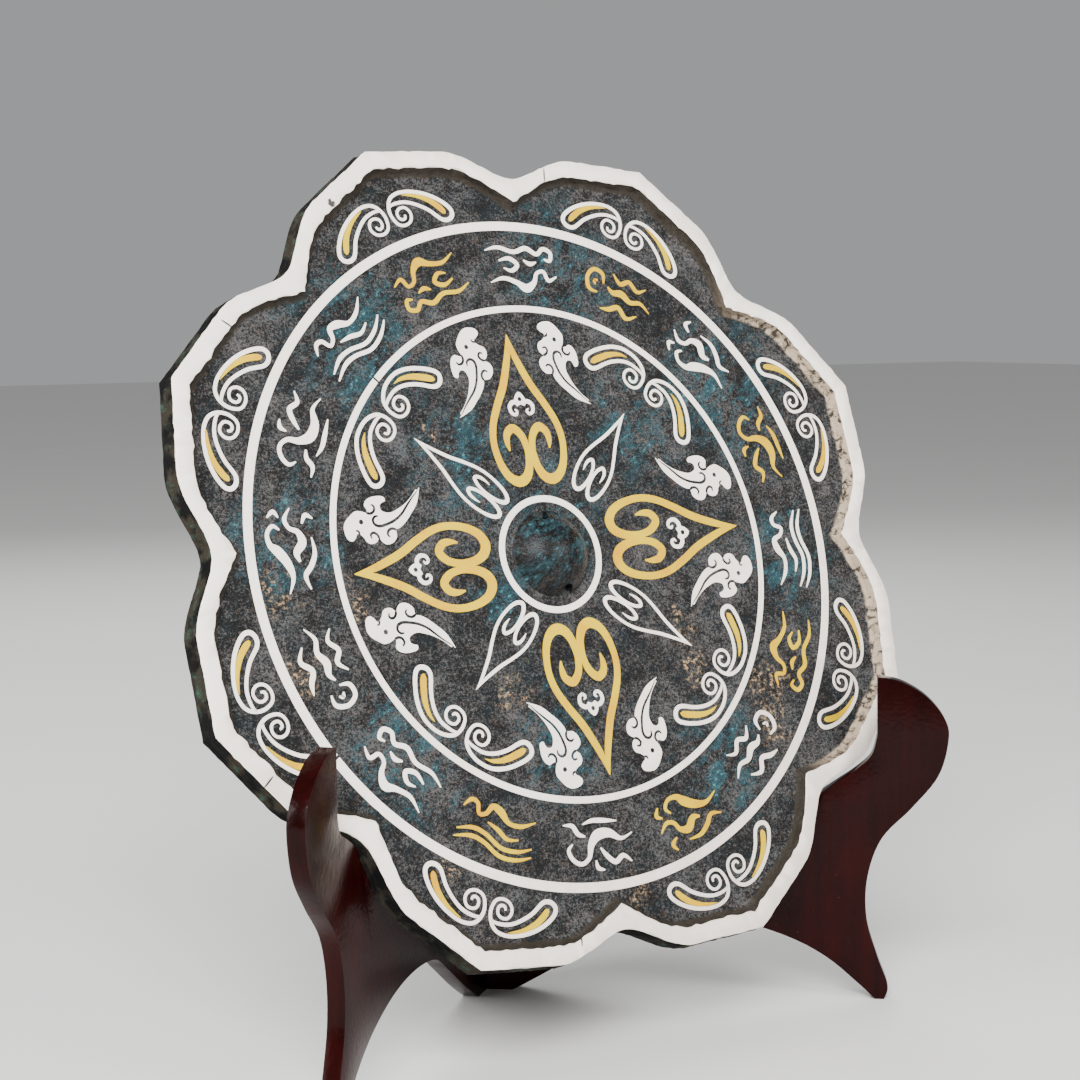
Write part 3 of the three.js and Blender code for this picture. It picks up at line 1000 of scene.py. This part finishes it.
@dataclass
class CloudBirds(Inlay):
    """Silver cloud scrolls with a beaked head, a pair beside each gold leaf's point."""

    spread: float = 14.0
    reach: float = 71.5
    axes: tuple[float, ...] = (3.4, 93.4, 183.4, 273.4)
    body: tuple[Point, ...] = (
        (-1.6, 6.5), (-3.5, 6.4), (-4.9, 5.7), (-5.3, 4.4), (-4.4, 3.2), (-3.5, 2.5), (-3.5, 1.6),
        (-4.9, 0.5), (-6.4, -0.1), (-7.3, -1.5), (-7.1, -3.4), (-6.0, -4.7), (-7.3, -5.4), (-8.4, -6.7),
        (-8.3, -8.9), (-7.0, -10.7), (-5.7, -11.1), (-4.5, -11.3), (-4.1, -12.9), (-2.8, -15.3),
        (-0.5, -18.1), (2.4, -21.1), (6.9, -23.4), (6.1, -22.4), (6.6, -22.0), (4.6, -19.6),
        (2.8, -16.6), (1.7, -13.7), (1.1, -11.1), (1.5, -9.2), (2.4, -7.9), (3.9, -7.9), (4.6, -8.9),
        (5.0, -10.2), (6.3, -10.0), (6.9, -8.2), (7.0, -5.6), (6.3, -3.6), (5.0, -2.6), (3.6, -3.0),
        (2.4, -2.8), (3.3, -0.8), (3.6, 1.1), (2.6, 3.2), (1.3, 5.1), (-0.2, 6.2),
    )
    lean: float = 3.5
    eye: float = 0.8
    # Lines left open in the silver, each from the outline inwards: middle line and width.
    open_lines: tuple[tuple[Stop, ...], ...] = (
        ((6.1, -22.4, 0.3), (3.9, -19.4, 0.55), (1.9, -17.0, 0.75), (-0.1, -14.6, 0.85),
         (-1.6, -11.5, 0.9), (-2.3, -8.2, 0.95), (-2.4, -6.0, 1.0), (-1.6, -4.5, 1.0),
         (-0.2, -4.2, 0.9), (0.8, -5.1, 0.8), (0.8, -6.4, 0.5)),
        ((-6.0, -4.7, 0.9), (-4.8, -4.3, 0.9), (-4.0, -3.2, 0.9), (-4.5, -2.1, 0.8), (-5.7, -2.2, 0.5)),
        ((-4.5, -11.3, 0.9), (-3.9, -10.0, 0.9), (-4.3, -8.6, 0.9), (-5.4, -8.0, 0.8), (-6.4, -8.5, 0.5)),
        ((2.4, -2.8, 0.9), (2.0, -4.1, 0.9), (2.6, -5.4, 0.9), (3.9, -5.8, 0.8), (4.8, -5.0, 0.5)),
        ((-3.5, 1.6, 0.8), (-2.6, 1.8, 0.7), (-2.3, 2.6, 0.5)),
    )

    def _outline(self) -> list[Vector]:
        """The bird's outline with its open lines cut in."""
        outline = through([(x, y, 0.0) for x, y in self.body], 4, closed=True)
        for line in self.open_lines:
            mouth = Vector((line[0][0], line[0][1], 0.0))
            start = min(range(len(outline)), key=lambda k: (outline[k] - mouth).length)
            pairs = sides(through(line, 5))
            outline[start:start + 1] = [*(a for a, _ in pairs[1:]), *(b for _, b in reversed(pairs[1:]))]
        return outline

    def build(self) -> None:
        """Builds the eight birds."""
        outline = self._outline()
        holes = [circle(self.eye, 18)]
        for i, axis in enumerate(self.axes):
            for side in (1, -1):
                piece = Piece(f"cloud_bird_{2 * i + (3 + side) // 2}")
                piece.plate(outline, holes, self.bottom, self.top, 0.06)
                angle = math.radians(side * self.spread)
                place = Matrix.Translation((self.reach * math.sin(angle), self.reach * math.cos(angle), 0.0))
                piece.move(self._matrix(axis - 90) @ place @ self._matrix(side * self.lean, side < 0))
                self._set(piece, Metal.SILVER)


@dataclass(frozen=True)
class ScrollSet:
    """Pairs of commas evenly spaced round the disc: first axis, their number, height and lean."""

    axis: float
    count: int
    height: float
    lean: float


@dataclass
class CommaScrolls(Inlay):
    """Pairs of silver commas that end in spirals, each filled with a gold drop."""

    # One comma beside its spiral's middle, as the right one of a pair whose axis points up:
    # middle line and width of its silver, from the spiral's heart round the comma and back.
    spiral: tuple[Stop, ...] = (
        (1.05, -0.2, 0.7), (0.65, -1.1, 0.95), (-0.25, -1.35, 1.0), (-1.25, -0.8, 1.0), (-1.55, 0.4, 1.0),
        (-1.0, 1.75, 1.0), (0.6, 2.35, 1.0), (2.35, 1.85, 1.0), (3.25, 0.25, 1.05), (3.05, -1.45, 1.05),
        (1.85, -2.8, 1.05), (0.0, -3.3, 1.05), (-1.95, -2.85, 1.05), (-3.25, -1.6, 1.1), (-3.75, 0.4, 1.15),
        (-3.65, 2.4, 1.2),
    )
    lobe_body: tuple[Stop, ...] = (
        (-3.0, 4.1, 1.25), (-1.7, 5.8, 1.25), (0.1, 6.8, 1.25), (2.3, 7.0, 1.25), (4.6, 6.6, 1.25),
        (7.2, 5.6, 1.25), (10.0, 4.0, 1.3), (12.8, 1.8, 1.35), (15.2, -0.8, 1.4), (17.0, -3.6, 1.45),
        (17.8, -6.0, 1.5), (17.3, -7.7, 1.55), (15.9, -8.5, 1.55), (14.2, -8.4, 1.5), (12.7, -7.4, 1.4),
        (11.6, -5.5, 1.35), (10.3, -3.0, 1.3), (8.4, -0.6, 1.25), (6.0, 1.7, 1.2), (3.6, 3.3, 1.2),
        (1.0, 4.2, 1.15), (-1.4, 4.5, 1.0), (-2.9, 4.0, 0.5),
    )
    inner_body: tuple[Stop, ...] = (
        (-2.7, 4.6, 1.25), (-0.8, 6.1, 1.3), (1.7, 7.0, 1.3), (4.5, 7.2, 1.3), (8.0, 6.6, 1.35),
        (11.0, 5.0, 1.4), (13.6, 2.7, 1.4), (15.6, 0.2, 1.4), (17.3, -2.5, 1.45), (18.2, -4.8, 1.5),
        (17.9, -6.4, 1.55), (16.6, -7.4, 1.6), (15.1, -7.6, 1.55), (13.7, -6.9, 1.5), (12.5, -5.3, 1.4),
        (11.3, -3.1, 1.35), (9.7, -0.8, 1.3), (7.7, 1.3, 1.3), (5.5, 2.9, 1.25), (3.0, 3.9, 1.2),
        (0.5, 4.1, 1.15), (-1.4, 4.0, 1.0), (-2.9, 3.4, 0.5),
    )
    lobe_drop: tuple[Stop, ...] = (
        (4.0, 5.8, 0.2), (6.3, 4.75, 0.9), (8.8, 3.2, 1.3), (10.8, 1.5, 1.65), (12.8, -0.8, 1.95),
        (14.2, -3.4, 2.1), (14.85, -5.2, 1.9), (15.0, -6.0, 1.2), (15.0, -6.4, 0.3),
    )
    inner_drop: tuple[Stop, ...] = (
        (5.1, 5.1, 0.2), (7.5, 4.3, 1.1), (9.8, 2.7, 1.6), (11.8, 0.6, 2.0), (13.4, -1.7, 2.2),
        (14.6, -3.6, 2.2), (15.2, -4.8, 1.9), (15.4, -5.4, 1.2), (15.4, -5.8, 0.3),
    )
    spread: float = 5.05
    # The lobes' pairs lie on the axes of the lobes, the inner ones on those of the slim leaves.
    lobes: ScrollSet = ScrollSet(LobedOutline.turn, LobedOutline.lobes, 118.2, 6.0)
    inner: ScrollSet = ScrollSet(49.3, 4, 70.0, 0.0)

    def _pairs(self, name: str, wanted: ScrollSet, body: Sequence[Stop], drop: Sequence[Stop]) -> None:
        """Builds one set of pairs.

        Args:
            name: what their pieces' names hold.
            wanted: where they lie.
            body: the comma's line after the spiral.
            drop: the gold drop's line.
        """
        for i in range(wanted.count):
            silver, gold = Piece(f"comma_{name}_{i + 1}"), Piece(f"drop_{name}_{i + 1}")
            for side in (-1, 1):
                flip = self._matrix(wanted.axis + 360 * i / wanted.count - 90, side < 0)
                place = (flip @ Matrix.Translation((self.spread, wanted.height, 0.0))
                         @ self._matrix(wanted.lean))
                silver.move(place, silver.strip([*self.spiral, *body], 5, self.bottom, self.top, 0.05))
                gold.move(place, gold.strip(drop, 6, self.bottom, self.top, 0.05))
            self._set(silver, Metal.SILVER)
            self._set(gold, Metal.GOLD)

    def build(self) -> None:
        """Builds the pairs between the leaves and those on the lobes."""
        self._pairs("inner", self.inner, self.inner_body, self.inner_drop)
        self._pairs("lobe", self.lobes, self.lobe_body, self.lobe_drop)


@dataclass
class StrokeRing(Inlay):
    """Groups of curved strokes between the two rings: ornament only, no writing."""

    reach: float = 95.4
    first: float = 86.4
    step: float = -22.5
    figures: tuple[tuple[tuple[Stop, ...], ...], ...] = (
        (
            ((-14, 5, 0.4), (-9, 6.4, 1.3), (-3, 5.2, 1.5), (2, 6.8, 1.7), (6, 5, 1.5), (8.8, 7, 1.5),
             (11.6, 5.8, 1.5), (11, 3, 1.3), (8.8, 3.4, 0.6)),
            ((-13, -6, 0.4), (-8, -4.2, 1.4), (-3, -5.4, 1.8), (0.6, -7.2, 3), (3.8, -5, 1.8),
             (5.2, -1.8, 1.3), (8, -1, 1.3), (9.6, -4, 1.4), (13, -2.4, 0.5)),
            ((-9, 1.8, 0.6), (-5, 2.8, 1.5), (-2, 0.8, 1.6), (-4.4, -1.4, 1.4), (-7.4, -0.6, 0.5)),
            ((0.6, 2.6, 0.6), (3, 1.4, 1.6), (5.6, 2.2, 0.5)),
        ),
        (
            ((-13.4, 2, 0.4), (-8.4, 0.4, 1.5), (-4, 1.8, 2.8), (-0.4, 4.6, 3.2), (1.6, 7, 1.9),
             (5, 7.6, 1.3), (7.4, 5.6, 1.3), (6.2, 3.4, 0.6)),
            ((-3.6, -2.4, 0.8), (-0.8, -1.6, 2.2), (2.4, -3.8, 2.8), (5.6, -2.6, 1.8), (6.8, 0.2, 1.4),
             (9.6, 1.4, 1.4), (13, -0.6, 0.4)),
            ((-12, -5.2, 0.5), (-8, -3.8, 1.5), (-4.8, -6, 1.7), (-0.8, -7.6, 1.4), (4, -7, 0.5)),
            ((10, 7.2, 0.5), (11.8, 5, 1.5), (10, 3.4, 0.5)),
            ((8.2, -4.2, 0.6), (10.8, -5.6, 1.5), (9.8, -8, 0.5)),
        ),
        (
            ((-14, 4.2, 0.5), (-9, 6.6, 1.3), (-3, 7.2, 1.4), (3, 4.8, 1.4), (8, 4.2, 1.4), (13.8, 6, 0.5)),
            ((-13.6, 1.6, 0.5), (-8.8, 4, 1.3), (-3, 4.6, 1.4), (3, 2.2, 1.4), (8, 1.6, 1.4),
             (13.4, 3.4, 0.5)),
            ((-8.4, 0.4, 0.5), (-4.4, 1.4, 1.3), (-0.6, -0.4, 1.5), (3.4, -1.6, 0.5)),
            ((-13, -6.8, 0.4), (-8.4, -4, 1.4), (-3.8, -3.6, 1.5), (-0.4, -6, 2.6), (2.8, -6.8, 1.9),
             (4.6, -4, 1.4), (7, -3.2, 1.3), (8.2, -6.2, 1.4), (10.6, -6.6, 1.4), (12.8, -4, 0.5)),
        ),
        (
            ((5.8, 1.6, 0.6), (7, 4.8, 1.5), (10.6, 5, 1.5), (12.4, 1.4, 1.5), (10.8, -2.4, 1.5),
             (7.4, -2.4, 0.6)),
            ((-13.8, -1, 0.4), (-9.6, 1, 1.4), (-5.6, -0.4, 1.8), (-1.8, 1, 2.6), (1.6, 0, 1.8),
             (4, 1.2, 0.6)),
            ((-10.6, 7, 0.4), (-7.4, 4.6, 1.4), (-3.6, 6.6, 1.6), (-0.4, 4.4, 1.6), (3, 6.8, 0.5)),
            ((-9.2, -4.2, 0.5), (-5.4, -6.8, 1.6), (-1.6, -4.4, 1.8), (1.8, -6.6, 1.7), (5.2, -7.6, 0.4)),
            ((8.2, 1.9, 0.5), (9.4, 1.0, 1.4), (8.8, -0.2, 0.5)),
        ),
        (
            ((-13.4, -3.2, 0.4), (-9, -1.6, 1.3), (-4.6, -3.6, 2.8), (-0.2, -3.2, 3.4),
             (2.6, -0.2, 2.3), (3.8, 3.6, 1.5), (6.8, 5.4, 1.4), (9.8, 4, 1.5), (11.2, 1, 1.3),
             (9.4, -1, 0.5)),
            ((-12, 5.8, 0.5), (-9, 3.8, 1.5), (-5.8, 5.6, 1.7), (-2.8, 3.4, 1.6), (-0.8, 0.8, 0.6)),
            ((4.4, -3, 0.6), (7, -4, 1.6), (8.8, -6.6, 1.5), (12.2, -7, 0.4)),
            ((-8, -7.2, 0.4), (-3.2, -7.6, 1.5), (1.4, -7.8, 1.4), (5, -6.8, 0.4)),
            ((-1.4, 7.8, 0.5), (1, 7, 1.5), (1.4, 4.6, 0.5)),
        ),
    )
    metals: str = "SGSGSGSGSGSSSSSG"

    def build(self) -> None:
        """Builds the groups, each figure turned or flipped so that no two neighbours match."""
        for i, letter in enumerate(self.metals):
            metal = Metal.GOLD if letter == "G" else Metal.SILVER
            piece = Piece(f"strokes_{i + 1}")
            for k, line in enumerate(self.figures[(3 * i) % len(self.figures)]):
                piece.strip(line, 6, self.bottom, self.top + 0.008 * k, 0.06)
            turn = self._matrix(self.first + self.step * i - 90)
            upside = self._matrix(180 if i % 4 > 1 else 0, i % 3 == 1)
            piece.move(turn @ Matrix.Translation((0.0, self.reach, 0.0)) @ upside)
            self._set(piece, metal)


# --------------------------------------------------------------------------- the stand


@dataclass
class StandBoards:
    """The two sawn boards, glued in a mitre behind the mirror."""

    middle: Vector
    board: float = 5.6
    turn: float = 50.5
    spread: float = 56.2
    rounding: float = 0.7
    # Outline in a board's own plane: distance backwards, height over the table.
    front: tuple[Point, ...] = (
        (-60.3, 110.8), (-68.0, 109.4), (-76.5, 104.4), (-82.6, 97.0), (-84.0, 90.0), (-80.8, 77.6),
        (-72.0, 66.4), (-62.0, 55.6), (-57.4, 42.0), (-57.3, 28.0), (-61.0, 15.0), (-64.6, 5.0),
        (-63.4, 0.0),
    )
    under: tuple[Point, ...] = (
        (-60.4, 0.0), (-55.1, 5.0), (-44.0, 14.2), (-31.0, 21.0), (-14.0, 26.0), (4.0, 27.5), (21.0, 25.4),
        (33.0, 18.6), (48.0, 9.0), (60.0, 2.0), (64.0, 0.0),
    )
    rear: tuple[Point, ...] = (
        (80.0, 124.0), (70.0, 127.6), (58.0, 139.0), (50.0, 155.0), (45.6, 171.0), (42.0, 183.0),
        (34.0, 189.6), (26.0, 188.4), (20.2, 180.2),
    )
    slot_right: tuple[Point, ...] = (
        (-36.0, 69.8), (-38.2, 67.4), (-41.0, 70.6), (-46.6, 74.6), (-53.2, 79.2), (-58.4, 84.2),
        (-60.3, 91.0),
    )
    slot_left: tuple[Point, ...] = (
        (-36.0, 70.4), (-38.2, 66.2), (-40.0, 64.7), (-42.0, 70.4), (-45.0, 77.2), (-52.6, 82.2),
        (-58.4, 85.4), (-60.3, 91.0),
    )

    def _outline(self, slot: tuple[Point, ...]) -> list[Vector]:
        """The whole outline of a board with the slot given."""
        runs = (self.front, self.under, ((80.0, 0.0),), self.rear, slot)
        return [p for run in runs
                for p in (through([(*q, 0.0) for q in run], 6) if len(run) > 1 else [Vector((*run[0], 0.0))])]

    def _board(self, name: str, node: str, side: int, lacquer: bpy.types.Material) -> None:
        """Builds a board.

        Args:
            name: the piece's name.
            node: the CAD node it stands for.
            side: 1 on the right and -1 on the left.
            lacquer: its finish.
        """
        piece = Piece(name)
        low = 0.0 if side > 0 else -self.board
        piece.plate(self._outline(self.slot_right if side > 0 else self.slot_left), [], low, low + self.board)
        arrises = [e for e in piece.bm.edges if len(e.link_faces) == 2 and e.calc_face_angle() > 1.2 and
                   abs(e.verts[0].co.z - e.verts[1].co.z) < 1e-6]
        bmesh.ops.bevel(piece.bm, geom=arrises, offset=self.rounding, offset_type="OFFSET", segments=3,
                        profile=0.5, affect="EDGES", clamp_overlap=True, material=-1)
        piece.move(Matrix.Rotation(math.radians(90), 4, "X"))
        piece.move(Matrix.Rotation(math.radians(90 + side * self.turn), 4, "Z"))
        piece.move(Matrix.Translation((side * self.spread + self.middle.x, self.middle.y, 0.0)))
        geom = [*piece.bm.verts, *piece.bm.edges, *piece.bm.faces]
        bmesh.ops.bisect_plane(piece.bm, geom=geom, dist=1e-4, plane_no=(side, 0, 0), clear_inner=True,
                               plane_co=(self.middle.x + side * 0.15, 0, 0))
        bmesh.ops.holes_fill(piece.bm, edges=[e for e in piece.bm.edges if e.is_boundary], sides=0)
        made = piece.finish(Matrix.Scale(MM, 4), lacquer, 30)
        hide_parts(node)

    def build(self, lacquer: bpy.types.Material) -> None:
        """Builds both boards."""
        self._board("board_right", "stand_board_right", 1, lacquer)
        self._board("board_left", "stand_board_left", -1, lacquer)


# --------------------------------------------------------------------------- studio


@dataclass(frozen=True)
class Softbox:
    """A rectangular lamp aimed at the mirror."""

    name: str
    place: Colour
    width: float
    height: float
    power: float


@dataclass
class Studio:
    """Pale floor, soft lamps and the camera."""

    target: Vector
    lens: float = 73.9
    eye: Colour = (-0.3972, -0.5876, 0.0779)
    heading: float = 33.557
    pitch: float = 6.034
    roll: float = -0.348
    lamps: tuple[Softbox, ...] = (
        Softbox("key", (-0.75, -0.95, 1.00), 0.9, 0.7, 46.0),
        Softbox("fill", (0.55, -1.15, 0.78), 0.6, 0.6, 14.0),
        Softbox("edge", (-1.05, 0.10, 0.45), 0.3, 0.9, 10.0),
        Softbox("rear", (0.40, 1.10, 0.90), 0.9, 0.6, 8.0),
    )

    def _floor(self) -> None:
        """Lays the floor."""
        bm = bmesh.new()
        bmesh.ops.create_grid(bm, x_segments=1, y_segments=1, size=6.0)
        mesh = bpy.data.meshes.new("floor")
        bm.to_mesh(mesh)
        bm.free()
        s = Shading("pale_floor")
        where = s.node("ShaderNodeTexCoord").outputs["Object"]
        tone = s.mix((0.74, 0.73, 0.71), (0.78, 0.77, 0.75), s.noise(where, 9.0))
        mesh.materials.append(s.surface(base_color=tone, roughness=0.6))
        floor = bpy.data.objects.new("floor", mesh)
        bpy.context.scene.collection.objects.link(floor)

    def _lamp(self, box: Softbox) -> None:
        """Hangs a lamp."""
        light = bpy.data.lights.new(box.name, "AREA")
        light.shape = "RECTANGLE"
        light.size, light.size_y = box.width, box.height
        light.energy = box.power
        lamp = bpy.data.objects.new(box.name, light)
        lamp.location = box.place
        lamp.rotation_euler = (self.target - Vector(box.place)).to_track_quat("-Z", "Y").to_euler()
        bpy.context.scene.collection.objects.link(lamp)

    def _camera(self) -> None:
        """Sets up the camera."""
        data = bpy.data.cameras.new("camera")
        data.sensor_width = 36.0
        data.lens = self.lens
        data.clip_start = 0.05
        camera = bpy.data.objects.new("camera", data)
        look = (Matrix.Rotation(math.radians(-self.heading), 4, "Z")
                @ Matrix.Rotation(math.radians(90 - self.pitch), 4, "X"))
        place = Matrix.Translation(self.target + Vector(self.eye))
        camera.matrix_world = place @ look @ Matrix.Rotation(math.radians(self.roll), 4, "Z")
        bpy.context.scene.collection.objects.link(camera)
        bpy.context.scene.camera = camera

    def build(self) -> None:
        """Sets up the studio."""
        world = bpy.data.worlds.new("studio")
        world.use_nodes = True
        background = world.node_tree.nodes["Background"]
        background.inputs["Color"].default_value = (0.93, 0.94, 0.96, 1.0)
        background.inputs["Strength"].default_value = 0.38
        bpy.context.scene.world = world
        self._floor()
        for box in self.lamps:
            self._lamp(box)
        self._camera()


def disc_placement() -> Placement:
    """The disc's frame, from the inner ring's box."""
    low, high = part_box("silver_inner_ring")
    lean = math.radians(Placement.lean)
    proud = 0.4 * MM
    return Placement((low + high) / 2 + proud * Vector((0.0, -math.cos(lean), math.sin(lean))))


def main() -> None:
    """Builds everything in order."""
    logging.basicConfig(level=logging.INFO, format="%(message)s")
    place = disc_placement()
    disc = MirrorDisc(place)
    silver = InlaySilver(place).dress()
    gold = InlayGold(place).dress()
    disc.build(PatinatedBronze(place, disc.boss).dress())
    disc.face_rim(silver)
    for work in (Inlay, CloudBirds, CommaScrolls, StrokeRing):
        work(place, silver, gold).build()
    StandBoards(place.centre / MM).build(OxbloodLacquer().dress())
    Studio(place.centre).build()


if __name__ == "__main__":
    main()
